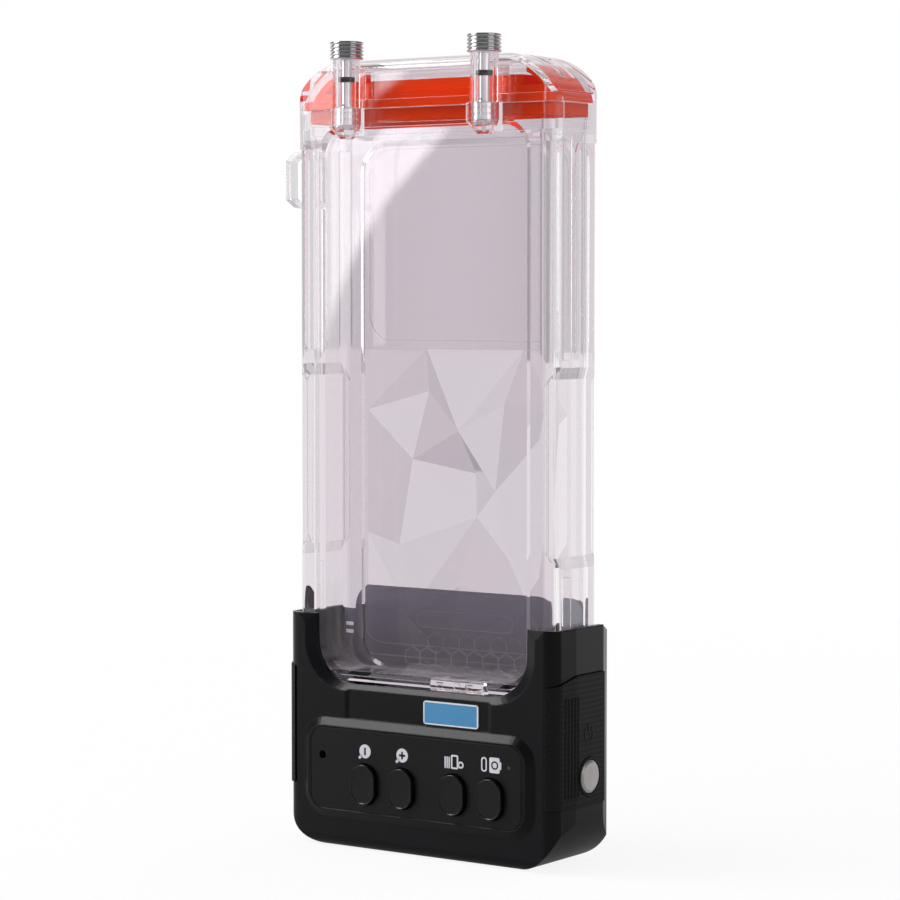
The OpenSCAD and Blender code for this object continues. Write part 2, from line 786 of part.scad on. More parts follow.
module shaft_seal(x) color(rubber_black) translate([x, boss_y, shaft_seal_z + gap]) difference() {
    cylinder(h = shaft_seal_t - 2 * gap, r = boss_bore_r - run);
    translate([0, 0, -over]) cylinder(h = shaft_seal_t + over, r = shank_r - shaft_groove + run);
}
module shaft_seal_left() shaft_seal(-screw_pitch_x / 2);
module shaft_seal_right() shaft_seal(screw_pitch_x / 2);

// Base: its section seen from above, grown by g
module base_section(g = 0) {
    half = base_w / 2;
    round_x = half - cheek_in - front_r;
    for (s = [-1, 1]) {
        translate([s * round_x, base_front_y + front_r]) circle(front_r + g);
        polygon([[0, base_front_y - g], [s * round_x, base_front_y - g],
            [s * round_x, base_front_y + front_r],
            [s * (half - cheek_in + g - 2 * tiny), base_front_y + front_r],
            [s * (half + g), crease_y], [s * (half + g), split_y],
            [s * (half - rear_in + g), base_back_y + g], [0, base_back_y + g]]);
    }
}

module base_outer(top_z, g = 0) {
    intersection() {
        from_top(-g, top_z) base_section(g);
        from_front(-base_d, base_d) rounded_foot(base_w + 2 * g, -g, top_z + over, base_r + g);
        translate([0, (base_front_y + base_back_y) / 2, 0]) from_side(-base_w, base_w)
            rounded_foot(base_d + 2 * g, -g, top_z + over, base_edge_r + g);
    }
}

// Space that the clear body stands in
module cradle() {
    from_front(cradle_front_y, cradle_back_y)
        rounded_foot(cradle_w, base_h, hump_top + over, cradle_r);
}

// Opening in the front wall: its edge, its wide bevel and its straight part
module scoop_outline(t) rounded_foot(2 * (scoop_half_w - t * scoop_bevel_w),
    base_h + t * scoop_bevel_h, arm_top + over, scoop_r - t * scoop_bevel_h, $fn = 48);
module scoop() {
    from_front(base_front_y - over, base_front_y + tiny) scoop_outline(0);
    hull() {
        from_front(base_front_y, base_front_y + tiny) scoop_outline(0);
        from_front(base_front_y + scoop_bevel_d, base_front_y + scoop_bevel_d + tiny) scoop_outline(1);
    }
    from_front(base_front_y, cradle_front_y + over) scoop_outline(1);
    // Slanted inner corner at the top of each arm, which runs out at the bevel's inner edge
    both_sides() hull() {
        from_front(base_front_y - over, base_front_y + tiny) polygon([
            [scoop_half_w - over, arm_top - arm_corner], [scoop_half_w, arm_top - arm_corner],
            [scoop_half_w + arm_corner, arm_top], [scoop_half_w + arm_corner, arm_top + over],
            [scoop_half_w - over, arm_top + over]]);
        from_front(base_front_y + scoop_bevel_d - tiny, base_front_y + scoop_bevel_d)
            translate([scoop_half_w - scoop_bevel_w - over, arm_top]) square(over);
    }
}

// Raised key platform with sloped sides
module key_platform() {
    w = keypad_w + 2 * plat_rim;
    r = keypad_r + plat_rim;
    hull() {
        from_front(keypad_y, keypad_y + tiny) translate([0, keypad_mid_z])
            rounded(w, plat_h, r, $fn = 32);
        from_front(base_front_y, base_front_y + tiny) translate([0, keypad_mid_z])
            rounded(w + 2 * plat_bevel, plat_h + 2 * plat_bevel, r + plat_bevel, $fn = 32);
    }
    from_front(base_front_y, inner_front_y) translate([0, keypad_mid_z]) rounded(w, plat_h, r);
}

module key_outline(grow = 0) rounded(key_w + 2 * grow, key_h + 2 * grow, key_w / 2 + grow - tiny);

// Right grip: a pad let into the side and wrapped round the front corner, with upright flutes
module grip_pad(clearance = 0) {
    z1 = grip_z + grip_h;
    difference() {
        intersection() {
            difference() {
                from_top(grip_z - clearance, z1 + clearance) base_section(grip_out);
                from_top(grip_z - over, z1 + over) base_section(-grip_in - clearance);
            }
            translate([base_w / 2 - cheek_in - grip_wrap - clearance, base_front_y - over, 0])
                cube([base_w, split_y - base_front_y + over, arm_top]);
            from_side(-base_w, base_w) polygon([[base_front_y - over, grip_z - clearance],
                [split_y, grip_z - clearance], [split_y, z1 + clearance], [crease_y, z1 + clearance],
                [base_front_y - over, z1 - grip_dip + clearance]]);
        }
        if (clearance == 0)
            from_top(grip_z + flute_end, z1 - grip_dip - flute_end) for (k = [0 : grip_flutes - 1])
                let (y = flute_y0 + k * flute_pitch, lean = (crease_y - y) / (cheek_w - front_r))
                    translate([base_w / 2 + grip_out - lean * cheek_in + flute_r - flute_in, y])
                        circle(flute_r);
    }
}

module base_front() color(shell_black) difference() {
    union() {
        difference() {
            union() {
                base_outer(arm_top);
                key_platform();
            }
            // Everything behind the parting face belongs to the rear cover
            translate([-base_w, split_y, -over]) cube([2 * base_w, base_d, hump_top]);
            cradle();
            scoop();
            // Room for the electronics
            from_front(inner_front_y, base_back_y) intersection() {
                rounded_foot(inner_w, base_wall, inner_top, base_r - base_wall);
                translate([0, inner_top / 2]) square([inner_w, inner_top], center = true);
            }
            // Shallow trough with sloped ends between the opening and the keys
            from_top(keypad_mid_z + plat_h / 2 + plat_bevel, base_h + scoop_bevel_h) polygon([
                [-strip_half_w, base_front_y + strip_in], [strip_half_w, base_front_y + strip_in],
                [strip_half_w + strip_slope, base_front_y - tiny],
                [strip_half_w + strip_slope, base_front_y - over],
                [-strip_half_w - strip_slope, base_front_y - over],
                [-strip_half_w - strip_slope, base_front_y - tiny]]);
            both_sides() grip_pad(gap);
        }
        // Pads that the clear body stands on
        for (x = [-pad_x, pad_x]) translate([x - pad_w / 2, -pad_w / 2, base_h - over])
            cube([pad_w, pad_w, stand_off + over]);
        // Posts for the circuit board and bosses for the rear cover's screws
        for (x = post_x, z = post_z) translate([x, board_y, z]) rotate([90, 0, 0])
            cylinder(h = board_gap + over, r = post_r);
        for (x = shell_screw_x, z = shell_screw_z)
            translate([x, split_y, z]) rotate([90, 0, 0])
                cylinder(h = split_y - inner_front_y + over, r = shell_boss_r);
        // Guide for the power key
        translate([power_boss_x, power_y, power_z]) rotate([0, 90, 0])
            cylinder(h = power_seat_x - power_boss_x, r = power_d / 2 + power_boss_wall);
        // Two ribs that hold the power switch
        for (y = [-1, 1]) translate([power_boss_x - switch_body - play,
            power_y + y * (switch_plate / 2 + switch_rib_t / 2 + gap) - switch_rib_t / 2,
            power_z - switch_plate / 2])
            cube([switch_body + play + over, switch_rib_t, switch_plate]);
    }
    // Recess of the key panel, key holes, sensor port and lamp port
    from_front(keypad_y - over, keypad_y + keypad_t + gap) translate([0, keypad_mid_z])
        rounded(keypad_w + 2 * gap, keypad_h + 2 * gap, keypad_r + gap);
    for (x = key_x) from_front(keypad_y, inner_front_y + over) translate([x, key_z])
        key_outline(play);
    translate([sensor_x, inner_front_y + over, sensor_z]) rotate([90, 0, 0])
        cylinder(h = base_wall + keypad_out + 2 * over, r = sensor_hole_r);
    translate([lens_x, inner_front_y + over, lens_z]) rotate([90, 0, 0])
        cylinder(h = base_wall + keypad_out + 2 * over, r = lens_r);
    // Pilot holes
    for (x = post_x, z = post_z) translate([x, board_y + over, z]) rotate([90, 0, 0])
        cylinder(h = pilot_d, r = pilot_r + run);
    for (x = shell_screw_x, z = shell_screw_z) translate([x, split_y + over, z])
        rotate([90, 0, 0]) cylinder(h = shell_screw_len, r = shell_screw_r + run);
    // Power key: round recess and stem hole
    translate([power_seat_x, power_y, power_z]) rotate([0, 90, 0])
        cylinder(h = base_wall + over, r = power_d / 2 + ring_w + gap);
    translate([power_boss_x - over, power_y, power_z]) rotate([0, 90, 0])
        cylinder(h = base_w, r = power_stem_r + run);
    // Tab of the clear body and its two screws
    translate([tab_x - tab_w / 2 - gap, -tab_d / 2 - gap, case_z0 - tab_h])
        cube([tab_w + 2 * gap, tab_d + 2 * gap, tab_h + over]);
    for (x = case_screws_x) translate([x, 0, inner_top - over])
        cylinder(h = base_wall + 2 * over, r = case_screw_r + play);
    // Groove for the shell seal
    shell_seal_path(run, over);
}

// Ring that follows the base's outline on the parting face
module shell_seal_path(grow, proud) {
    out = seal_inset - grow;
    in = seal_inset + seal_groove + grow;
    from_front(split_y - seal_depth - grow, split_y + proud) difference() {
        rounded_foot(base_w - 2 * out, out, base_h - out, base_r - seal_inset);
        rounded_foot(base_w - 2 * in, in, base_h - in, base_r - seal_inset - seal_groove);
    }
}

// Rear cover's outside up to one height: its edges lean in towards the rear face
module rear_outer(top_z) {
    intersection() {
        base_outer(top_z);
        // The line over the edge starts ahead of the parting face
        from_side(-base_w, base_w) polygon([[0, -over], [base_back_y + over, -over],
            [base_back_y + over, top_z - rear_in], [base_back_y, top_z - rear_in],
            [0, top_z - rear_in + rear_in * base_back_y / (rear_cover_t + over)]]);
    }
}

module base_back() color(shell_black) difference() {
    intersection() {
        union() {
            rear_outer(arm_top);
            intersection() {
                rear_outer(hump_top);
                from_front(0, base_d) rounded_head(2 * hump_half_w, 0, hump_top, hump_r);
            }
        }
        translate([-base_w, split_y, -over]) cube([2 * base_w, base_d, hump_top + 2 * over]);
    }
    cradle();
    // Shallow room behind the battery
    from_front(split_y - over, base_back_y - base_wall)
        rounded_foot(inner_w - 2 * rear_room_side, base_wall + rear_room_foot,
            inner_top - rear_room_top, rear_room_r);
    // Counterbored holes for the rear screws
    for (x = shell_screw_x, z = shell_screw_z) {
        translate([x, base_back_y + over, z]) rotate([90, 0, 0])
            cylinder(h = base_d / 2, r = shell_screw_r + play);
        translate([x, base_back_y + over, z]) rotate([90, 0, 0])
            cylinder(h = counterbore_d + over, r = shell_head_r + play);
    }
    // Shallow groove that frames the rear panel
    from_front(base_back_y - rear_groove_in, base_back_y + over) difference() {
        rear_frame(0);
        rear_frame(rear_groove);
    }
}
module rear_frame(t) translate([0, base_h / 2])
    rounded(base_w - 2 * (rear_groove_edge + t), base_h - 2 * (rear_groove_foot + t), rear_groove_r - t);

module keypad_panel() color(rubber_black) difference() {
    from_front(keypad_y, keypad_y + keypad_t) translate([0, keypad_mid_z])
        rounded(keypad_w, keypad_h, keypad_r);
    for (x = key_x) from_front(keypad_y - over, keypad_y + keypad_t + over) translate([x, key_z])
        key_outline(play);
    translate([sensor_x, keypad_y + keypad_t + over, sensor_z]) rotate([90, 0, 0])
        cylinder(h = keypad_t + 2 * over, r = sensor_hole_r);
    translate([lens_x, keypad_y + keypad_t + over, lens_z]) rotate([90, 0, 0])
        cylinder(h = keypad_t + 2 * over, r = lens_r);
}

// Camera key: crowned cap, shaft through the wall and flange behind it
module camera_key(x) color(shell_black) {
    face_y = keypad_y - key_out;
    from_front(face_y, face_y + key_crown_h) translate([x, key_z]) key_outline(-key_crown);
    from_front(face_y + key_crown_h - tiny, inner_front_y + gap) translate([x, key_z]) key_outline();
    from_front(inner_front_y + gap - tiny, inner_front_y + gap + key_flange_t) translate([x, key_z])
        key_outline(key_flange);
}
module key_zoom_out() camera_key(key_x[0]);
module key_zoom_in() camera_key(key_x[1]);
module key_mode() camera_key(key_x[2]);
module key_shutter() camera_key(key_x[3]);

// Power key: chamfered head, stem through its guide and a clip inside
module power_key() color(steel_grey) translate([0, power_y, power_z]) rotate([0, 90, 0]) {
    head_x = power_seat_x + power_travel + gap;
    rim_x = head_x + power_head_t - power_edge_h;
    stem_x = power_boss_x - stem_in;
    translate([0, 0, head_x]) cylinder(h = power_head_t - power_edge_h, r = power_d / 2);
    translate([0, 0, rim_x])
        cylinder(h = power_edge_h, r1 = power_d / 2, r2 = power_d / 2 - power_edge);
    translate([0, 0, stem_x]) cylinder(h = head_x + gap - stem_x, r = power_stem_r);
    translate([0, 0, power_boss_x - power_clip_t - gap])
        cylinder(h = power_clip_t, r = power_stem_r + power_clip);
}

module power_ring() color(rubber_black) translate([power_seat_x, power_y, power_z])
    rotate([0, 90, 0]) difference() {
        cylinder(h = power_seat_in + grip_out + ring_proud, r = power_d / 2 + ring_w);
        translate([0, 0, -over]) cylinder(h = base_wall + 2 * over, r = power_d / 2 + play);
    }

module grip_left() color(rubber_black) mirror([1, 0, 0]) grip_pad();
module grip_right() color(rubber_black) difference() {
    grip_pad();
    translate([power_seat_x, power_y, power_z]) rotate([0, 90, 0])
        cylinder(h = base_wall + 2 * over, r = power_d / 2 + ring_w + gap);
}

module label_plate() color([0.29, 0.55, 0.73])
    from_front(base_front_y + strip_in - label_t, base_front_y + strip_in)
        translate([label_x, label_z]) rounded(label_w, label_h, label_r);

module circuit_board() color([0.1, 0.35, 0.2]) difference() {
    from_front(board_y, board_y + board_t) translate([0, board_mid_z])
        rounded(board_w, board_h, board_r);
    for (x = post_x, z = post_z) translate([x, board_y + board_t + over, z])
        rotate([90, 0, 0]) cylinder(h = board_t + 2 * over, r = pilot_r + play);
}

module board_screws() color(steel_grey) for (x = post_x, z = post_z)
    translate([x, board_y + board_t, z]) rotate([90, 0, 0]) {
        translate([0, 0, -screw_head_t]) cylinder(h = screw_head_t, r = screw_head_r);
        cylinder(h = board_screw_len, r = pilot_r);
    }

module key_switches() color("silver") for (x = key_x) translate([x, board_y, key_z])
    rotate([90, 0, 0]) {
        cylinder(h = switch_h / 2, r = switch_r);
        cylinder(h = switch_h, r = switch_dome_r);
    }

module battery_foam() color("dimgray") from_front(board_y + board_t, board_y + board_t + foam_t)
    translate([0, board_mid_z])
        rounded(battery_w - 2 * foam_in, battery_h - 2 * foam_in, board_r);

module battery() color([0.75, 0.77, 0.8])
    from_front(board_y + board_t + foam_t, board_y + board_t + foam_t + battery_t)
        translate([0, board_mid_z]) rounded(battery_w, battery_h, battery_r);

module power_switch() color("silver") {
    plate_x = power_boss_x - switch_body;
    body_x = plate_x + switch_plate_t;
    side = switch_plate - 2 * switch_plate_t;
    translate([plate_x, power_y - switch_plate / 2, power_z - switch_plate / 2])
        cube([switch_plate_t, switch_plate, switch_plate]);
    translate([body_x - tiny, power_y - side / 2, power_z - side / 2])
        cube([switch_body_t, side, side]);
}

module pressure_sensor() color(steel_grey) translate([sensor_x, inner_front_y, sensor_z])
    rotate([-90, 0, 0]) difference() {
        cylinder(h = board_gap, r = sensor_r);
        translate([0, 0, -over]) cylinder(h = over + board_gap / 2, r = sensor_port_r);
    }

module indicator_lens() color("whitesmoke") translate([lens_x, keypad_y + gap, lens_z])
    rotate([-90, 0, 0]) cylinder(h = board_y - keypad_y - gap, r = lens_r - run);

module shell_seal() color(seal_orange) shell_seal_path(0, 0);

module shell_screws() color(steel_grey)
    for (x = shell_screw_x, z = shell_screw_z)
        translate([x, base_back_y - counterbore_d, z]) rotate([90, 0, 0]) {
            difference() {
                translate([0, 0, -shell_head_t]) cylinder(h = shell_head_t, r = shell_head_r);
                translate([0, 0, -shell_head_t - over]) cylinder(h = hex_d + over, r = hex_r, $fn = 6);
            }
            cylinder(h = shell_screw_len, r = shell_screw_r);
        }

module case_screws() color(steel_grey) for (x = case_screws_x)
    translate([x, 0, inner_top]) {
        translate([0, 0, -shell_head_t]) cylinder(h = shell_head_t, r = shell_head_r);
        cylinder(h = case_z0 - tab_h - inner_top + case_screw_grip, r = case_screw_r);
    }

case_body();
threaded_inserts();
top_cap();
seal_gasket();
thumb_screw_left();
thumb_screw_right();
shaft_seal_left();
shaft_seal_right();
base_front();
base_back();
keypad_panel();
key_zoom_out();
key_zoom_in();
key_mode();
key_shutter();
power_key();
power_ring();
grip_left();
grip_right();
label_plate();
circuit_board();
board_screws();
key_switches();
battery();
battery_foam();
power_switch();
pressure_sensor();
indicator_lens();
shell_seal();
shell_screws();
case_screws();
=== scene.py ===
import json
import math
import bmesh
import bpy
from mathutils import Matrix, Vector


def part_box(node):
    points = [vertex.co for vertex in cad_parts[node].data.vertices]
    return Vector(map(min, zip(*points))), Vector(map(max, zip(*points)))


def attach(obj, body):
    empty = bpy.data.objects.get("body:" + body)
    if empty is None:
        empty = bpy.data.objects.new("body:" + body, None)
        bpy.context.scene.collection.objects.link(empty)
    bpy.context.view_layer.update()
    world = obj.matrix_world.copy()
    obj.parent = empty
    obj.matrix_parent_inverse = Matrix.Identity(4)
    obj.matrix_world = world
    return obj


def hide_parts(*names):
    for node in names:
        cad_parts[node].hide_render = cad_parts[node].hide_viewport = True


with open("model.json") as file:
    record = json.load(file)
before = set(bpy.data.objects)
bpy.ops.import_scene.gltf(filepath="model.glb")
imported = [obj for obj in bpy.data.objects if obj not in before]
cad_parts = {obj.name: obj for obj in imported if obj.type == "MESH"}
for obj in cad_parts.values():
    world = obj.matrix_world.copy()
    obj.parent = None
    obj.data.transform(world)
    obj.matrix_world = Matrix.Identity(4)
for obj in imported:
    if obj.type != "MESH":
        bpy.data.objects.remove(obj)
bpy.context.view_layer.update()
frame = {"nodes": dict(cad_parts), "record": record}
nodes = frame["nodes"]
mm = 0.001
merge = 0.000002  # points nearer than this are one
print("frame loaded:", len(nodes), "nodes")


class Wire:  # one output socket with arithmetic
    def __init__(self, graph, socket):
        self.graph = graph
        self.socket = socket

    def maths(self, operation, other=None):
        return self.graph.maths(operation, self, other)

    def __add__(self, other):
        return self.graph.maths("ADD", self, other)

    __radd__ = __add__

    def __mul__(self, other):
        return self.graph.maths("MULTIPLY", self, other)

    __rmul__ = __mul__

    def __sub__(self, other):
        return self.graph.maths("SUBTRACT", self, other)

    def __rsub__(self, other):
        return self.graph.maths("SUBTRACT", other, self)

    def __pow__(self, other):
        return self.graph.maths("POWER", self, other)


class Graph:  # one material's or world's nodes
    def __init__(self, tree):
        self.tree = tree
        tree.nodes.clear()

    def node(self, kind, settings=None, **inputs):
        made = self.tree.nodes.new(kind)
        for name, value in (settings or {}).items():
            setattr(made, name, value)
        for name, value in inputs.items():
            wanted = name.replace("_", " ")
            self.feed(next(s for s in made.inputs if s.name == wanted and s.enabled), value)
        return made

    def feed(self, socket, value):
        if isinstance(value, Wire):
            value = value.socket
        if isinstance(value, bpy.types.NodeSocket):
            self.tree.links.new(value, socket)
        elif isinstance(value, (tuple, list)) and len(value) == 3 and socket.type == "RGBA":
            socket.default_value = (*value, 1)
        else:
            socket.default_value = value

    def wire(self, made, output=0):  # output by number or name
        return Wire(self, made.outputs[output])

    def maths(self, operation, a, b=None):
        made = self.tree.nodes.new("ShaderNodeMath")
        made.operation = operation
        self.feed(made.inputs[0], a)
        if b is not None:
            self.feed(made.inputs[1], b)
        return Wire(self, made.outputs[0])

    def place(self, stretch=None):  # object coordinates in metres
        made = self.node("ShaderNodeTexCoord")
        if stretch is None:
            return Wire(self, made.outputs["Object"])
        mapped = self.node("ShaderNodeMapping", Vector=made.outputs["Object"], Scale=stretch)
        return self.wire(mapped)

    def noise(self, scale, detail, stretch=None):  # cloud pattern, drawn out along an axis by stretch
        return self.wire(self.node("ShaderNodeTexNoise", Vector=self.place(stretch), Scale=scale, Detail=detail))

    def between(self, value, low, high, toLow=0.0, toHigh=1.0):  # a clamped range turned into another
        made = self.node("ShaderNodeMapRange", {"clamp": True}, Value=value)
        for name, number in (("From Min", low), ("From Max", high), ("To Min", toLow), ("To Max", toHigh)):
            made.inputs[name].default_value = number
        return self.wire(made)

    def window(self, value, rise, fall):  # 1 between two soft limits, 0 outside
        return self.between(value, *rise) * self.between(value, *fall, 1.0, 0.0)

    def blend(self, factor, first, second):  # two colours
        made = self.tree.nodes.new("ShaderNodeMix")
        made.data_type = "RGBA"
        self.feed(made.inputs[0], factor)
        self.feed(made.inputs[6], first)
        self.feed(made.inputs[7], second)
        return Wire(self, made.outputs[2])

    def split(self, vector):  # a vector's three numbers
        parts = self.node("ShaderNodeSeparateXYZ", Vector=vector)
        return [self.wire(parts, number) for number in range(3)]

    def bump(self, height, distance, strength, softened=None):
        made = self.node("ShaderNodeBump", Height=height, Distance=distance, Strength=strength)
        if softened is not None:
            edge = self.node("ShaderNodeBevel", {"samples": 4}, Radius=softened)
            self.feed(made.inputs["Normal"], edge.outputs[0])
        return self.wire(made)

    def principled(self, fixed, **inputs):  # fixed holds the numbers that are the same all over
        made = self.node("ShaderNodeBsdfPrincipled", **inputs)
        for name, number in fixed.items():
            made.inputs[name].default_value = number
        return made.outputs[0]

    def mix(self, factor, first, second):  # two shaders
        made = self.node("ShaderNodeMixShader", Fac=factor)
        self.feed(made.inputs[1], first)
        self.feed(made.inputs[2], second)
        return made.outputs[0]

    def finish(self, shader, kind="ShaderNodeOutputMaterial"):
        self.node(kind, Surface=shader)


def newMaterial(name):
    made = bpy.data.materials.new(name)
    made.use_nodes = True
    return made, Graph(made.node_tree)


def lin(r, g, b):  # a colour as seen on screen, 0 to 255, as the numbers a shader takes
    return tuple((v / 255 / 12.92) if v <= 10 else ((v / 255 + 0.055) / 1.055) ** 2.4 for v in (r, g, b))


# Clear body and cap: tinted front and back, side walls painted paler (painted light), painted shade at grazing edges,
# and a painted reflection tone of its own on each facet of the relief
clearLook = {"tint": lin(231, 225, 230), "side": lin(248, 245, 247), "rim": lin(170, 163, 172), "ior": 1.49,
             "edgeShadeShare": 0.7, "edgeShadeFrom": (0.45, 0.98), "roughness": 0.015, "scratches": 0.04, "flat": 0.93,
             "facetReflectionDark": lin(194, 187, 194), "facetReflectionLight": lin(255, 255, 255), "facetSpread": (731, 1177),
             "leanFrom": (0.003, 0.006), "leanTo": (0.062, 0.066), "flow": 0.0003, "soft": 0.0002,
             "shade": lin(242, 239, 241), "paintedGlow": lin(224, 218, 223), "deepest": 5}


def clearPlastic(name, look):
    made, g = newMaterial(name)
    # painted shade: towards grazing angles the colour turns to the darker rim grey, standing in for the dark edges of
    # the clear walls
    edge = g.node("ShaderNodeLayerWeight", Blend=0.3)
    rim = g.between(g.wire(edge, "Facing"), *look["edgeShadeFrom"]) * look["edgeShadeShare"]
    flow = g.noise(24, 1.5, stretch=(1, 1, 0.35))
    scratch = g.noise(900, 2, stretch=(1, 1, 0.06))
    across, deep, up = g.split(g.node("ShaderNodeNewGeometry").outputs["Normal"])
    flat = g.maths("GREATER_THAN", g.maths("ABSOLUTE", deep), look["flat"])
    sideways, upwards = look["facetSpread"]
    # painted reflection: each facet of the relief gets a lighter or darker tone from its slope, standing in for the
    # studio reflections it shows
    facet = g.between(g.maths("SINE", across * sideways + up * upwards), -1.0, 0.9)
    lean = g.maths("ABSOLUTE", across) + g.maths("ABSOLUTE", up)
    relief = flat * g.window(lean, look["leanFrom"], look["leanTo"])
    tone = g.blend(facet, look["facetReflectionDark"], look["facetReflectionLight"])
    # painted light: faces other than front and back take the paler side tint, so side walls and edges read lighter
    tint = g.blend(relief, g.blend(flat, look["side"], look["tint"]), tone)
    shell = g.principled({"Transmission Weight": 1, "IOR": look["ior"]},
                         Base_Color=g.blend(rim, tint, look["rim"]),
                         Roughness=look["roughness"] + g.between(scratch, 0.62, 0.78) * look["scratches"],
                         Normal=g.bump(flow, look["flow"], 0.1, look["soft"]))
    rays = g.node("ShaderNodeLightPath")
    trapped = g.maths("GREATER_THAN", g.wire(rays, "Ray Depth"), look["deepest"])
    paintedGlow = g.node("ShaderNodeEmission", Color=look["paintedGlow"], Strength=1.0)  # painted glow standing in for light caught inside that leaves by the edges: rays past the deepest pass emit a fixed pale colour
    through = g.node("ShaderNodeBsdfTransparent", Color=look["shade"])  # shadows stay pale
    g.finish(g.mix(rays.outputs["Is Shadow Ray"], g.mix(trapped, shell, paintedGlow.outputs[0]), through.outputs[0]))
    return made


def shades(colour, darker, lighter):
    return tuple(c * darker for c in colour), tuple(min(c * lighter, 1) for c in colour)


def plainGloss(name, look):  # moulded, cast or rolled surfaces with a fine grain and a soft edge
    made, g = newMaterial(name)
    fine = g.noise(look.get("grain", 900), 3)
    broad = g.noise(35, 2)
    tone = g.blend(g.between(broad, 0.3, 0.7), *shades(look["colour"], 0.9, 1.1))
    if "insideFrom" in look:  # painted light: the face seen through the clear body is painted a paler grey than the black shell, lighter towards the top
        forward = g.split(g.node("ShaderNodeNewGeometry").outputs["Normal"])[1]
        across, deep, up = g.split(g.place())
        inside = g.maths("LESS_THAN", forward, -0.8) * g.maths("GREATER_THAN", deep, look["insideFrom"])
        paintedPaleness = g.blend(g.between(up, *look["insideLightRise"]), look["insidePaintedLow"], look["insidePaintedHigh"])
        tone = g.blend(inside, tone, paintedPaleness)
    g.finish(g.principled({"Metallic": look.get("metallic", 0.0), "Specular IOR Level": look.get("specular", 0.5)},
                          Base_Color=tone,
                          Roughness=look["roughness"] + (broad - 0.5) * 0.06 + (fine - 0.5) * 0.05,
                          Normal=g.bump(fine, look.get("depth", 0.00002), 0.5, look.get("soft", 0.0003))))
    return made


def turnedSteel(name, look):  # polished on a lathe, with faint rings that follow the axis
    made, g = newMaterial(name)
    rings = g.noise(1.0, 2, stretch=look["rings"])
    tone = g.blend(g.between(g.noise(60, 2), 0.35, 0.65), look["dark"], look["bright"])
    g.finish(g.principled({"Metallic": 1.0}, Base_Color=tone,
                          Roughness=look["roughness"] + g.between(rings, 0.35, 0.65) * 0.06,
                          Normal=g.bump(rings, 0.000004, 0.5, 0.0001)))
    return made


def discSteel(name, look, centre):  # satin face with rings round the key's middle
    made, g = newMaterial(name)
    across, deep, up = g.split(g.place())
    away = ((deep - centre[1]) ** 2.0 + (up - centre[2]) ** 2.0) ** 0.5
    rings = (g.maths("SINE", away * look["rings"]) * 0.5 + 0.5) * g.noise(1500, 2)
    tone = g.blend(g.between(g.noise(90, 2), 0.3, 0.7), look["dark"], look["bright"])
    g.finish(g.principled({"Metallic": 1.0}, Base_Color=tone, Roughness=look["roughness"] + rings * 0.12,
                          Normal=g.bump(rings, 0.000006, 0.4, 0.0002)))
    return made


def gripRubber(name, look):  # small staggered pips between the upright flutes
    made, g = newMaterial(name)
    across, deep, up = g.split(g.place())
    wave = 2 * math.pi / look["pitch"]
    column = g.maths("SINE", deep * wave)
    pips = g.between(column * g.maths("SINE", up * wave + column * 1.2), 0.1, 0.8)
    fine = g.noise(1400, 3)
    g.finish(g.principled({"Specular IOR Level": 0.3},
                          Base_Color=g.blend(pips * 0.6 + fine * 0.4, *shades(look["colour"], 0.75, 1.25)),
                          Roughness=look["roughness"] - pips * 0.1,
                          Normal=g.bump(pips + fine * 0.15, look["depth"], 0.7, 0.0004)))
    return made


def labelSheet(name, look, low, high):  # blue sheet with a white line round it
    made, g = newMaterial(name)
    place = g.split(g.place())
    past = []  # how far a point is past the blue field, sideways and upright
    for axis in (0, 2):
        middle, half = (low[axis] + high[axis]) / 2, (high[axis] - low[axis]) / 2 - look["border"]
        past.append(g.maths("ABSOLUTE", place[axis] - middle) - half)
    border = g.between(past[0].maths("MAXIMUM", past[1]), -look["blur"], look["blur"])
    fine = g.noise(1200, 2)
    blue = g.blend(g.between(g.noise(120, 2), 0.3, 0.7), *shades(look["blue"], 1.0, 1.08))
    g.finish(g.principled({"Specular IOR Level": 0.4}, Base_Color=g.blend(border, blue, look["white"]),
                          Roughness=0.34 + fine * 0.08, Normal=g.bump(fine - border * 0.5, 0.00002, 0.4)))
    return made


def middleOf(node):
    low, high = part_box(node)
    return [(a + b) / 2 for a, b in zip(low, high)]


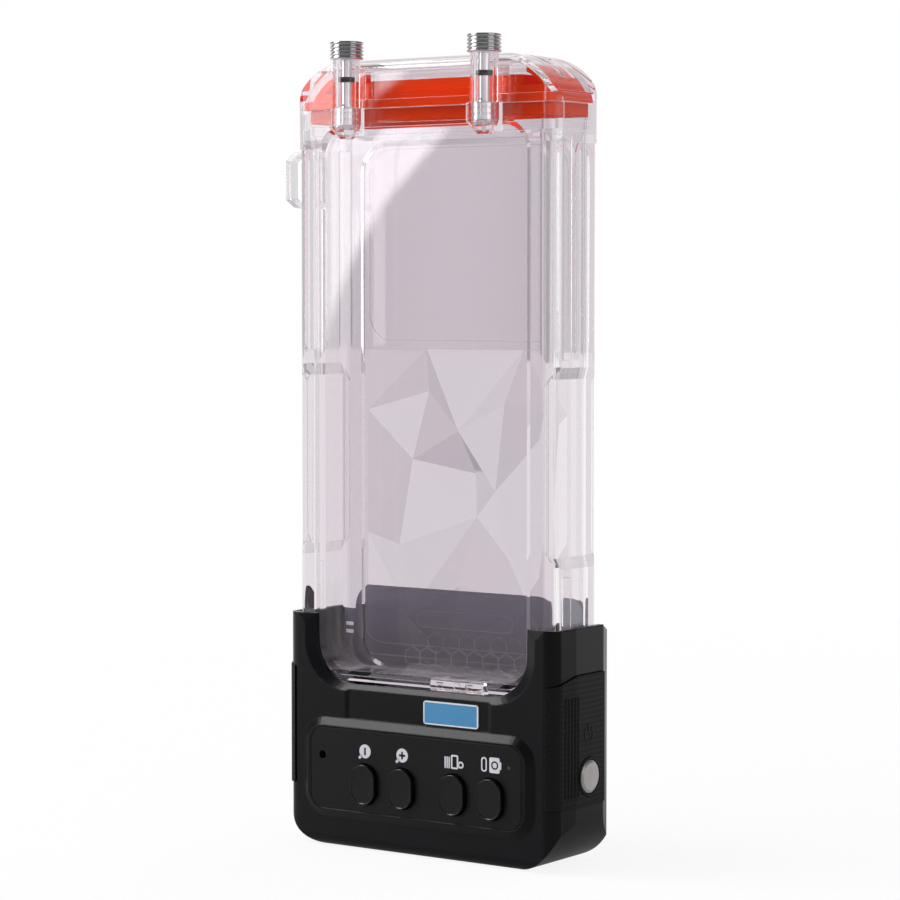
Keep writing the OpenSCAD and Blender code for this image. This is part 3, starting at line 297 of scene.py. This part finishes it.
finishes = {
    "clear": clearPlastic("clearBody", clearLook),
    "orange": plainGloss("orangeSilicone", {"colour": (1.0, 0.06, 0.0), "roughness": 0.6, "specular": 0.04}),
    "polished": turnedSteel("polishedSteel", {"dark": (0.62, 0.61, 0.63), "bright": (0.8, 0.79, 0.8),
                                              "roughness": 0.1, "rings": (30, 30, 9000)}),
    "satin": discSteel("satinSteel", {"dark": (0.5, 0.47, 0.46), "bright": (0.66, 0.63, 0.62), "roughness": 0.3,
                                      "rings": 42000}, middleOf("power_key")),
    "steel": plainGloss("plainSteel", {"colour": (0.55, 0.54, 0.56), "roughness": 0.28, "metallic": 1.0}),
    # the black shell's face seen through the clear body carries painted light: a paler grey, lighter towards the top
    "shell": plainGloss("blackShell", {"colour": lin(8, 8, 12), "roughness": 0.3, "specular": 0.24, "soft": 0.0006,
                                       "depth": 0.000006, "grain": 1600, "insideFrom": 0.0105,
                                       "insideLightRise": (0.056, 0.077), "insidePaintedLow": lin(62, 64, 71),
                                       "insidePaintedHigh": lin(106, 108, 118)}),
    "rubber": plainGloss("blackRubber", {"colour": lin(13, 13, 16), "roughness": 0.42, "specular": 0.22}),
    "grip": gripRubber("gripRubber", {"colour": lin(8, 8, 10), "roughness": 0.55, "pitch": 0.00155,
                                      "depth": 0.00012}),
    "keys": plainGloss("keyRubber", {"colour": lin(8, 8, 11), "roughness": 0.2, "specular": 0.5, "soft": 0.0001}),
    "bars": plainGloss("wallBars", {"colour": (0.95, 0.95, 0.97), "roughness": 0.4, "soft": 0.00003}),
    "label": labelSheet("labelBlue", {"blue": lin(66, 128, 172), "white": lin(214, 214, 220), "border": 0.0004,
                                      "blur": 0.00004}, *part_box("label_plate")),
    "board": plainGloss("boardGreen", {"colour": lin(20, 90, 50), "roughness": 0.4}),
    "foil": plainGloss("batteryFoil", {"colour": (0.7, 0.72, 0.75), "roughness": 0.35, "metallic": 1.0,
                                       "grain": 300, "depth": 0.0001}),
    "foam": plainGloss("greyFoam", {"colour": lin(90, 90, 94), "roughness": 0.9, "grain": 500, "depth": 0.0003}),
    "lens": plainGloss("lensWhite", {"colour": lin(70, 70, 76), "roughness": 0.2}),
    "print": plainGloss("printWhite", {"colour": lin(205, 205, 212), "roughness": 0.45, "grain": 2500,
                                       "soft": 0.00003}),
    # painted light: the moulded lines are the black wall's relief, coloured pale grey for the sheen they catch
    "paintedLightWallLines": plainGloss("paintedLightWallLines", {"colour": lin(112, 111, 122), "roughness": 0.4}),
}
slotLook = {"clear_plastic": "clear", "insert_steel": "steel", "orange_silicone": "orange",
            "polished_steel": "polished", "satin_steel": "satin", "black_rubber": "rubber", "black_shell": "shell",
            "black_keys": "keys", "blue_label": "label", "board_green": "board", "battery_foil": "foil",
            "grey_foam": "foam", "lens_white": "lens"}
nodeLook = {"threaded_inserts": "polished", "grip_left": "grip", "grip_right": "grip"}
for row in frame["record"]["subparts"]:
    mesh = nodes[row["node"]].data
    mesh.materials.clear()
    mesh.materials.append(finishes[nodeLook.get(row["node"], slotLook[row["material_slot"]])])
print("finishes set")


def newPiece(name, bm, finish, body, smooth=35, stand=None):  # stand is the CAD node that it replaces
    bmesh.ops.remove_doubles(bm, verts=bm.verts, dist=merge)
    bmesh.ops.recalc_face_normals(bm, faces=bm.faces)
    mesh = bpy.data.meshes.new(name)
    bm.to_mesh(mesh)
    bm.free()
    mesh.shade_smooth()
    mesh.set_sharp_from_angle(angle=math.radians(smooth))
    mesh.materials.append(finishes[finish])
    made = bpy.data.objects.new(name, mesh)
    bpy.context.scene.collection.objects.link(made)
    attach(made, body)
    if stand:
        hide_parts(stand)


# Thumb screws: grooved head with round rings, neck with a groove for its seal, threaded foot; sizes in mm
screw = {"headRadius": 5.1, "headHeight": 5.3, "headFootIn": 0.35, "headTopIn": 0.7, "dish": (3.1, 2.7, 0.25),
         "rings": 5, "ringIn": 0.42, "ringTall": 0.78,
         "ringShape": ((0.04, 0.3), (0.14, 0.1), (0.3, 0.0), (0.7, 0.0), (0.86, 0.1), (0.96, 0.3)),
         "neckRadius": 1.6, "sealIn": 0.45, "sealRoom": 0.1, "threadRadius": 2.0, "threadIn": 0.28,
         "threadLength": 6.2, "threadPitch": 1.0, "threadShape": (0.1, 0.45, 0.6, 0.95), "tipIn": 0.5,
         "tipTall": 0.3, "steps": 72, "smooth": 40}


def screwProfile(low, high):  # radius and height from the tip to the middle of the head
    s = screw
    crest, root = s["threadRadius"], s["threadRadius"] - s["threadIn"]
    neck, groove = s["neckRadius"], s["neckRadius"] - s["sealIn"]
    head, headFoot = s["headRadius"], high - s["headHeight"]
    line = [(0, low), (crest - s["tipIn"], low), (root, low + s["tipTall"])]
    turn = low + s["tipTall"]
    while turn + s["threadPitch"] < low + s["threadLength"]:  # the thread as one ridge for each turn
        line += [(radius, turn + up) for radius, up in zip((root, crest, crest, root), s["threadShape"])]
        turn += s["threadPitch"]
    sealLow, sealHigh = (corner[2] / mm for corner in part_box("shaft_seal_left"))
    sealLow, sealHigh = sealLow - s["sealRoom"], sealHigh + s["sealRoom"]
    line += [(neck, low + s["threadLength"]), (neck, sealLow), (groove, sealLow), (groove, sealHigh),
             (neck, sealHigh), (neck, headFoot), (head - s["headFootIn"], headFoot)]
    pitch = s["headHeight"] / s["rings"]
    for ring in range(s["rings"]):
        foot = headFoot + ring * pitch
        last = ring == s["rings"] - 1
        tall = pitch if last else pitch * s["ringTall"]
        line += [(head - inset, foot + tall * share) for share, inset in s["ringShape"]]
        if not last:
            line += [(head - s["ringIn"], foot + tall), (head - s["ringIn"], foot + pitch)]
    dishOut, dishIn, dishDeep = s["dish"]
    return line + [(head - s["headTopIn"], high), (dishOut, high), (dishIn, high - dishDeep), (0, high - dishDeep)]


def turned(profile, centre, steps):  # the profile turned round an upright axis
    bm = bmesh.new()
    points = [bm.verts.new((radius * mm, 0, up * mm)) for radius, up in profile]
    edges = [bm.edges.new(pair) for pair in zip(points, points[1:])]
    bmesh.ops.spin(bm, geom=points + edges, cent=(0, 0, 0), axis=(0, 0, 1), angle=2 * math.pi, steps=steps,
                   use_merge=True)
    bmesh.ops.remove_doubles(bm, verts=bm.verts, dist=merge)
    bmesh.ops.translate(bm, verts=bm.verts, vec=(centre[0], centre[1], 0))
    return bm


for side in ("left", "right"):
    node = f"thumb_screw_{side}"
    low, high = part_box(node)
    bm = turned(screwProfile(low[2] / mm, high[2] / mm), middleOf(node), screw["steps"])
    newPiece(f"thumbScrew.{side}", bm, "polished", f"screw_{side}", screw["smooth"], node)
print("thumb screws turned")


# Camera keys: a capsule with a thin round rim and a shallow dish; sizes in mm
key = {"names": ("zoom_out", "zoom_in", "mode", "shutter"), "width": 8.9, "height": 12.2, "flange": 0.8,
       "flangeOut": 1.6, "rim": 0.28, "rimTurn": 15, "dish": ((0.4, 0.02), (0.56, 0.24), (2.2, 0.25), (4.0, 0.26)),
       "steps": 40, "smooth": 50}


def capsuleEdge(bm, width, height, y, steps):  # one capsule outline, upright, at a depth y
    ring = bmesh.ops.create_circle(bm, segments=steps, radius=width / 2)["verts"]
    bmesh.ops.rotate(bm, verts=ring, cent=(0, 0, 0), matrix=Matrix.Rotation(math.pi / 2, 3, "X"))
    bmesh.ops.rotate(bm, verts=ring, cent=(0, 0, 0), matrix=Matrix.Rotation(math.pi / steps, 3, "Y"))
    for upper, way in ((True, 1), (False, -1)):
        moved = [v for v in ring if (v.co.z > 0) == upper]
        bmesh.ops.translate(bm, verts=moved, vec=(0, 0, way * (height - width) / 2))
    bmesh.ops.translate(bm, verts=ring, vec=(0, y, 0))
    return [e for e in bm.edges if all(v in ring for v in e.verts)]


def capsuleStack(layers, steps):  # a closed body through several capsule outlines, from the back to the front
    bm = bmesh.new()
    loops = [capsuleEdge(bm, width, height, y, steps) for width, height, y in layers]
    for first, second in zip(loops, loops[1:]):
        bmesh.ops.bridge_loops(bm, edges=first + second)
    bmesh.ops.edgeloop_fill(bm, edges=loops[0])
    bmesh.ops.edgeloop_fill(bm, edges=loops[-1])
    return bm


def keyLayers(back, face):  # width, height and depth of each outline
    width, height = key["width"], key["height"]
    flange = (width + key["flangeOut"], height + key["flangeOut"])
    layers = [(*flange, back), (*flange, back - key["flange"]), (width, height, back - key["flange"])]
    inward = []
    for angle in range(0, 91, key["rimTurn"]):  # round rim
        turn = math.radians(angle)
        inward.append((key["rim"] * (1 - math.cos(turn)), key["rim"] * (1 - math.sin(turn))))
    inward += key["dish"]
    layers += [(width - 2 * inset, height - 2 * inset, face + deep) for inset, deep in inward]
    return [tuple(size * mm for size in layer) for layer in layers]


for name in key["names"]:
    node = f"key_{name}"
    low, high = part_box(node)
    middle = middleOf(node)
    bm = capsuleStack(keyLayers(high[1] / mm, low[1] / mm), key["steps"])
    bmesh.ops.translate(bm, verts=bm.verts, vec=(middle[0], 0, middle[2]))
    newPiece(f"cameraKey.{name}", bm, "keys", f"{name}_key", key["smooth"], node)
print("camera keys made")


# Small signs over the keys, printed a hair proud of the panel; sizes in mm, x from the key's middle
sign = {"proud": 0.06, "sunk": 0.1, "cutout": 0.03, "steps": 40}
lensSign = {"x": 0.1, "z": 30.5, "radius": 2.1, "bar": (0.62, 2.3), "arm": {"away": 0.73, "size": (0.84, 0.62)},
            "handle": {"away": -1.75, "size": (0.8, 1.5), "turn": -45, "corner": 0.2}}
modeSign = {"x": -2.9, "z": 30.0, "columns": 3, "columnStep": 0.72, "column": (0.42, 3.4),
            "frame": {"x": 3.4, "z": 0.3, "size": (2.6, 4.2), "line": 0.5, "corner": 0.5},
            "ring": {"x": 5.6, "z": -0.4, "radii": (1.05, 0.55), "steps": 28}}
shutterSign = {"x": -2.4, "z": 30.6, "frame": {"size": (2.0, 4.3), "line": 0.45, "corner": 0.9},
               "body": {"x": 3.7, "size": (3.6, 4.6), "corner": 0.5}, "finder": {"x": 5.8, "size": (0.6, 2.2)},
               "lens": {"x": 3.8, "radii": (1.25, 0.8), "steps": 32}}
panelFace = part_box("keypad_panel")[0][1] / mm


def standUp(bm, verts, place):  # from flat to upright, at x, z and a face's depth
    x, z, face = place
    bmesh.ops.rotate(bm, verts=verts, cent=(0, 0, 0), matrix=Matrix.Rotation(math.pi / 2, 3, "X"))
    bmesh.ops.translate(bm, verts=verts, vec=(x * mm, (face - sign["proud"]) * mm, z * mm))


def thicken(bm, faces):
    grown = bmesh.ops.extrude_face_region(bm, geom=faces)
    moved = [v for v in grown["geom"] if isinstance(v, bmesh.types.BMVert)]
    bmesh.ops.translate(bm, verts=moved, vec=(0, (sign["proud"] + sign["sunk"]) * mm, 0))


def addRing(bm, place, outer, inner, steps):
    verts, edges = [], set()
    for radius in (outer, inner):
        new = bmesh.ops.create_circle(bm, cap_ends=False, segments=steps, radius=radius * mm)["verts"]
        verts += new
        edges |= {e for v in new for e in v.link_edges}
    faces = bmesh.ops.bridge_loops(bm, edges=list(edges))["faces"]
    standUp(bm, verts, place)
    thicken(bm, faces)


def addPatch(bm, place, size, turn=0.0, corner=0.0):
    new = bmesh.ops.create_grid(bm, x_segments=1, y_segments=1, size=0.5)["verts"]
    bmesh.ops.scale(bm, verts=new, vec=(size[0] * mm, size[1] * mm, 1))
    faces = list({f for v in new for f in v.link_faces})
    if corner:
        cut = bmesh.ops.bevel(bm, geom=new, offset=corner * mm, segments=4, affect="VERTICES", profile=0.5,
                              material=-1)
        faces = list(set(cut["faces"]) | {f for v in cut["verts"] for f in v.link_faces})
        new = list({v for f in faces for v in f.verts})
    bmesh.ops.rotate(bm, verts=new, cent=(0, 0, 0), matrix=Matrix.Rotation(math.radians(turn), 3, "Z"))
    standUp(bm, new, place)
    thicken(bm, faces)


def addFrame(bm, place, size, line, corner):  # a line along a rounded rectangle
    new = bmesh.ops.create_grid(bm, x_segments=1, y_segments=1, size=0.5)["verts"]
    bmesh.ops.scale(bm, verts=new, vec=(size[0] * mm, size[1] * mm, 1))
    cut = bmesh.ops.bevel(bm, geom=new, offset=corner * mm, segments=5, affect="VERTICES", profile=0.5,
                          material=-1)
    core = list({f for v in cut["verts"] for f in v.link_faces})
    rim = bmesh.ops.inset_region(bm, faces=core, thickness=line * mm, use_even_offset=True,
                                 use_boundary=True)["faces"]
    bmesh.ops.delete(bm, geom=core, context="FACES_ONLY")
    standUp(bm, list({v for f in rim for v in f.verts}), place)
    thicken(bm, rim)


def addDisc(bm, place, radius):
    new = bmesh.ops.create_circle(bm, cap_ends=True, segments=sign["steps"], radius=radius * mm)["verts"]
    faces = list({f for v in new for f in v.link_faces})
    standUp(bm, new, place)
    thicken(bm, faces)


keyAt = {name: middleOf(f"key_{name}")[0] / mm for name in key["names"]}
white, dark = bmesh.new(), bmesh.new()
for name in ("zoom_out", "zoom_in"):
    x, z = keyAt[name] + lensSign["x"], lensSign["z"]
    handle, arm = lensSign["handle"], lensSign["arm"]
    addDisc(white, (x, z, panelFace), lensSign["radius"])
    addPatch(white, (x + handle["away"], z + handle["away"], panelFace), handle["size"], handle["turn"],
             handle["corner"])
    addPatch(dark, (x, z, panelFace), lensSign["bar"])
    if name == "zoom_in":
        for way in (-1, 1):
            addPatch(dark, (x + way * arm["away"], z, panelFace), arm["size"])
x, z = keyAt["mode"] + modeSign["x"], modeSign["z"]
for step in range(modeSign["columns"]):  # short columns of a list
    addPatch(white, (x + step * modeSign["columnStep"], z, panelFace), modeSign["column"])
outline, ring = modeSign["frame"], modeSign["ring"]
addFrame(white, (x + outline["x"], z + outline["z"], panelFace), outline["size"], outline["line"],
         outline["corner"])
addRing(white, (x + ring["x"], z + ring["z"], panelFace), *ring["radii"], ring["steps"])
x, z = keyAt["shutter"] + shutterSign["x"], shutterSign["z"]
outline, body, finder, lens = (shutterSign[part] for part in ("frame", "body", "finder", "lens"))
addFrame(white, (x, z, panelFace), outline["size"], outline["line"], outline["corner"])
addPatch(white, (x + body["x"], z, panelFace), body["size"], corner=body["corner"])
addPatch(white, (x + finder["x"], z, panelFace), finder["size"])
addRing(dark, (x + lens["x"], z, panelFace), *lens["radii"], lens["steps"])
newPiece("printedSigns", white, "print", "housing")
bmesh.ops.translate(dark, verts=dark.verts, vec=(0, -sign["cutout"] * mm, 0))
newPiece("signCutouts", dark, "rubber", "housing")
print("signs printed")


# Moulded lines on the inner face of the rear wall, seen through the clear body, in a pale grey that is painted light
# on the moulded ridges; sizes in mm
wall = {"face": 12.05, "slot": {"z": 68.4, "size": (36, 5.4), "line": 0.35, "corner": 5.4 / 2.02},
        "field": {"z": 68.4, "size": (76, 17), "line": 0.3, "corner": 7},
        "cell": 3.3, "cellLine": 0.26, "cellStep": 1.76, "cellsRight": 1, "rows": ((61.4, 7), (56.35, 8)),
        "bars": ((-44, 65.2), (-44, 62.8)), "bar": (4.4, 1.1), "barCorner": 0.2}
bm = bmesh.new()
for outline in (wall["slot"], wall["field"]):
    addFrame(bm, (0, outline["z"], wall["face"]), outline["size"], outline["line"], outline["corner"])
for z, count in wall["rows"]:
    for step in range(count):
        x = (step - (count - 1) / 2) * wall["cell"] * wall["cellStep"] + wall["cellsRight"]
        addRing(bm, (x, z, wall["face"]), wall["cell"], wall["cell"] - wall["cellLine"], 6)
newPiece("rearWallLines", bm, "paintedLightWallLines", "housing")
bm = bmesh.new()
for x, z in wall["bars"]:
    addPatch(bm, (x, z, wall["face"]), wall["bar"], corner=wall["barCorner"])
newPiece("rearWallBars", bm, "bars", "housing")
print("rear wall lines made")


# Power sign, raised a little on the right grip; sizes in mm
power = {"y": 2.2, "z": 39.4, "outer": 2.5, "inner": 1.95, "gap": 38, "bar": (0.55, 2.6), "barDown": 0.7,
         "low": 49.55, "high": 50.0, "steps": 48}
bm = bmesh.new()
for radius in (power["outer"], power["inner"]):
    bmesh.ops.create_circle(bm, segments=power["steps"], radius=radius)
faces = bmesh.ops.bridge_loops(bm, edges=list(bm.edges))["faces"]
middles = [(face, face.calc_center_median()) for face in faces]
gone = [face for face, middle in middles if abs(math.degrees(math.atan2(middle.x, middle.y))) < power["gap"]]
bmesh.ops.delete(bm, geom=gone, context="FACES")
bar = bmesh.ops.create_grid(bm, x_segments=1, y_segments=1, size=0.5)["verts"]
bmesh.ops.scale(bm, verts=bar, vec=(*power["bar"], 1))
bmesh.ops.translate(bm, verts=bar, vec=(0, power["outer"] - power["barDown"], 0))
grown = bmesh.ops.extrude_face_region(bm, geom=list(bm.faces))
bmesh.ops.translate(bm, verts=[v for v in grown["geom"] if isinstance(v, bmesh.types.BMVert)],
                    vec=(0, 0, power["high"] - power["low"]))
bmesh.ops.rotate(bm, verts=bm.verts, cent=(0, 0, 0), matrix=Matrix(((0, 0, 1), (1, 0, 0), (0, 1, 0))))
bmesh.ops.translate(bm, verts=bm.verts, vec=(power["low"], power["y"], power["z"]))
bmesh.ops.scale(bm, verts=bm.verts, vec=(mm, mm, mm))
newPiece("powerSign", bm, "rubber", "housing")
print("power sign made")


# Studio: pale floor, an air of white panels, a big soft box in front and four soft lamps; angles in degrees
studio = {"floorSize": 6.0, "floorLow": 0.0001, "cloth": 0.88, "away": (-0.574, 0.817), "floorBack": (-0.05, 0.2),
          "floorAhead": 0.25, "floorAheadClear": 0.55, "floorGlow": (0.1, 0.7, 0.88, 1.0)}
air = {"level": 0.42, "panel": 6.45, "panelsAt": 125.1, "fade": (0.25, 0.8, 1.0, 0.3), "gap": 0.5,
       "frontPanels": (0.55, 0.9, 0.04, 0.45), "behind": (0.5, 0.85), "far": (-0.1, 0.2),
       "sides": (18, 32, 0.0, 0.6), "clearLift": 0.12}
softBox = {"level": 4.4, "left": (-150, -146), "foot": (-6, -5), "top": (12, 13), "edge": -127.6, "edgeRise": 2.08,
           "edgeCurve": 0.305, "edgeBlur": 0.12, "stepAt": (3.1, 3.3), "step": 2.0}
lowBox = {"share": 0.6, "left": (-150, -146), "right": (-128.6, -128.2), "foot": (-14, -12), "top": (-6, -5)}
sideStrip = {"share": 0.5, "left": (-122.4, -122), "right": (-112, -108), "foot": (-14, -12), "top": (4, 6)}
lamps = {"keyLamp": {"place": (-0.88, -0.5, 1.16), "aim": 0.1, "size": (0.7, 0.7), "watts": 13, "mirrored": True},
         "frontLamp": {"place": (-0.5, -1.1, 0.5), "aim": 0.15, "size": (0.6, 0.6), "watts": 4, "mirrored": False},
         "fillLamp": {"place": (1.3, -0.1, 0.7), "aim": 0.12, "size": (1.0, 1.2), "watts": 2.4, "mirrored": True},
         "rimLamp": {"place": (0.2, 1.2, 1.0), "aim": 0.12, "size": (1.2, 0.5), "watts": 5, "mirrored": False}}
view = {"place": (0.5101, -0.7235, 0.1692), "target": (0.00119, 0.000836, 0.12118), "lens": 118.08, "sensor": 36,
        "clipStart": 0.05}


def kindsOfRay(g):  # from the camera, a mirroring surface or a clear one
    rays = g.node("ShaderNodeLightPath")
    return [g.wire(rays, name) for name in ("Is Camera Ray", "Is Glossy Ray", "Is Transmission Ray")]


def awayFromCamera(x, y):  # how far a place or direction lies behind the object, as the photograph sees it
    return x * studio["away"][0] + y * studio["away"][1]


def grey(level):
    return (level, level, level)


bm = bmesh.new()
bmesh.ops.create_grid(bm, x_segments=1, y_segments=1, size=studio["floorSize"])
bmesh.ops.translate(bm, verts=bm.verts, vec=(0, 0, -studio["floorLow"]))
floorMesh = bpy.data.meshes.new("floor")
bm.to_mesh(floorMesh)
bm.free()
floor = bpy.data.objects.new("floor", floorMesh)
bpy.context.scene.collection.objects.link(floor)
floorMaterial, g = newMaterial("paleFloor")
fromCamera, fromGloss, fromClear = kindsOfRay(g)
cloth = g.node("ShaderNodeBsdfDiffuse", Color=grey(studio["cloth"]))
x, y, z = g.split(g.place())
back = g.between(awayFromCamera(x, y), *studio["floorBack"])
bright = fromCamera.maths("MAXIMUM", back)  # ahead of the object the floor mirrors dimmer
ahead = g.blend(fromClear, grey(studio["floorAhead"]), grey(studio["floorAheadClear"]))
glow = g.node("ShaderNodeEmission", Color=g.blend(bright, ahead, grey(1.0)))
seen = fromCamera.maths("MAXIMUM", fromGloss).maths("MAXIMUM", fromClear)
outward = g.node("ShaderNodeVectorMath", {"operation": "LENGTH"}, Vector=g.place())
cover = seen * g.between(g.wire(outward, "Value"), *studio["floorGlow"])
g.finish(g.mix(cover, cloth.outputs[0], glow.outputs[0]))
floor.data.materials.append(floorMaterial)

world = bpy.data.worlds.new("studioAir")
bpy.context.scene.world = world
world.use_nodes = True
g = Graph(world.node_tree)
fromCamera, fromGloss, fromClear = kindsOfRay(g)
x, y, z = g.split(g.node("ShaderNodeTexCoord").outputs["Generated"])
around = g.maths("ARCTAN2", y, x) * math.degrees(1)
rise = g.maths("ARCSINE", z) * math.degrees(1)


def panel(p):  # one soft panel of light by its limits round the object and in rise
    return g.window(around, p["left"], p["right"]) * g.window(rise, p["foot"], p["top"]) * p["share"]


backdrop = awayFromCamera(x, y)
behind, far = g.between(backdrop, *air["behind"]), g.between(backdrop, *air["far"])
height = g.between(z, *air["fade"])
panels = g.maths("COSINE", (around - air["panelsAt"]) * (math.pi / air["panel"])) * 0.5 + 0.5  # with gaps all round
curve = ((rise + softBox["edgeRise"]) * softBox["edgeCurve"]) ** 2.0 + softBox["edge"]  # as the front face mirrors it
curve = curve - g.between(rise, *softBox["stepAt"]) * softBox["step"]
box = g.between(around - curve, -softBox["edgeBlur"], softBox["edgeBlur"], 1.0, 0.0)
box = box * g.between(around, *softBox["left"]) * g.window(rise, softBox["foot"], softBox["top"])
front = g.between(panels, *air["frontPanels"]) * height
front = front + (box + panel(lowBox) + panel(sideStrip)) * softBox["level"]
side = g.between(g.maths("ABSOLUTE", around + air["panelsAt"]), *air["sides"])  # dim only behind the camera
through = g.between(panels, 0.0, 1.0, air["gap"], 1.0) * height
cleared = (front + side + air["clearLift"]) * (1 - far) + through * far
mirrored = front * (1 - far) + front.maths("MAXIMUM", behind) * far  # with the white sheet behind the object
special = fromClear * cleared + fromGloss * mirrored * (1 - fromClear)
plain = (1 - fromClear.maths("MAXIMUM", fromGloss)) * air["level"]
level = fromCamera + (1 - fromCamera) * (special + plain)
g.finish(g.node("ShaderNodeBackground", Color=grey(1), Strength=level).outputs[0], "ShaderNodeOutputWorld")


def aimed(made, place, target):
    bpy.context.scene.collection.objects.link(made)
    made.location = place
    made.rotation_euler = (Vector(target) - Vector(place)).to_track_quat("-Z", "Y").to_euler()


for name, lamp in lamps.items():
    data = bpy.data.lights.new(name, "AREA")
    data.shape = "RECTANGLE"
    data.size, data.size_y = lamp["size"]
    data.energy = lamp["watts"]
    made = bpy.data.objects.new(name, data)
    aimed(made, lamp["place"], (0, 0, lamp["aim"]))
    made.visible_glossy = made.visible_transmission = lamp["mirrored"]

cameraData = bpy.data.cameras.new("camera")
cameraData.lens = view["lens"]
cameraData.sensor_width = view["sensor"]
cameraData.clip_start = view["clipStart"]
camera = bpy.data.objects.new("camera", cameraData)
aimed(camera, view["place"], view["target"])
bpy.context.scene.camera = camera
bpy.context.scene.view_settings.view_transform = "Standard"
print("stage set")
